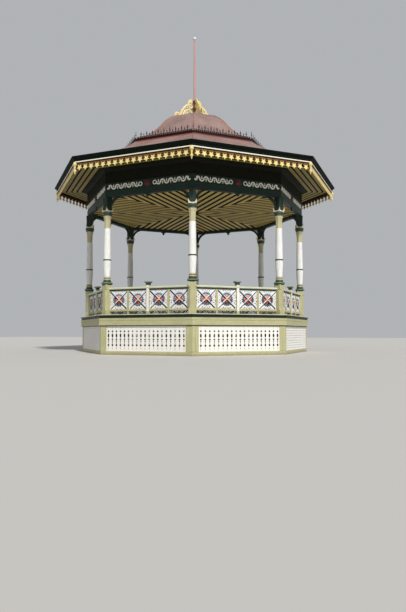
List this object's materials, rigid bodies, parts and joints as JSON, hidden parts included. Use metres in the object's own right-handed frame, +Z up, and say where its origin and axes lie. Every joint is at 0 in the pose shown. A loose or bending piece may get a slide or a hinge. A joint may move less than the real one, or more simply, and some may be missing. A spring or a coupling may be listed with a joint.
{
  "type": "bandstand",
  "caption": "Octagonal timber bandstand with a raised floor, turned columns, pierced railings and an ogee dome.",
  "frame": {"origin": "middle of the plan, on the ground", "axes": "+Z up, +X and +Y square to two of the eight faces"},
  "size_m": [10.9062, 10.9062, 13.392],
  "materials": {
    "sage_paint": "painted pale sage, satin, weathered",
    "cream_paint": "painted cream, satin",
    "white_paint": "painted white, satin",
    "dark_green_paint": "painted dark green, satin",
    "deck_paint": "painted grey deck boards, worn",
    "olive_paint": "painted olive boards, matte",
    "gold_paint": "painted gold, satin",
    "roof_paint": "dusty rose roof paint, matte",
    "maroon_paint": "painted maroon, satin",
    "maroon_iron": "painted maroon, satin",
    "pole_paint": "painted dull rose, satin"
  },
  "bodies": {
    "root": {"sill": "sage_paint", "clapboard_skirt_1": "cream_paint", "clapboard_skirt_2": "cream_paint", "pierced_skirt_3": "cream_paint", "pierced_skirt_4": "cream_paint", "clapboard_skirt_5": "cream_paint", "clapboard_skirt_6": "cream_paint", "pierced_skirt_7": "cream_paint", "pierced_skirt_8": "cream_paint", "corner_boards": "sage_paint", "rim_board": "sage_paint", "deck_moulding": "dark_green_paint", "deck": "deck_paint", "newel_posts": "sage_paint", "column_1": "white_paint", "column_2": "white_paint", "column_3": "white_paint", "column_4": "white_paint", "column_5": "white_paint", "column_6": "white_paint", "column_7": "white_paint", "column_8": "white_paint", "upper_posts": "dark_green_paint", "railing_1": "sage_paint", "railing_2": "sage_paint", "railing_3": "sage_paint", "railing_4": "sage_paint", "railing_5": "sage_paint", "railing_6": "sage_paint", "railing_7": "sage_paint", "railing_8": "sage_paint", "frieze_beams": "dark_green_paint", "brackets": "dark_green_paint", "upper_wall": "dark_green_paint", "ceiling": "olive_paint", "soffit": "olive_paint", "gutter": "dark_green_paint", "valance": "gold_paint", "lower_roof": "roof_paint", "dome_curb": "maroon_paint", "cresting": "maroon_iron", "dome": "roof_paint", "dome_scrolls": "gold_paint", "flagpole": "pole_paint", "pole_ball": "white_paint"}
  },
  "joints": []
}
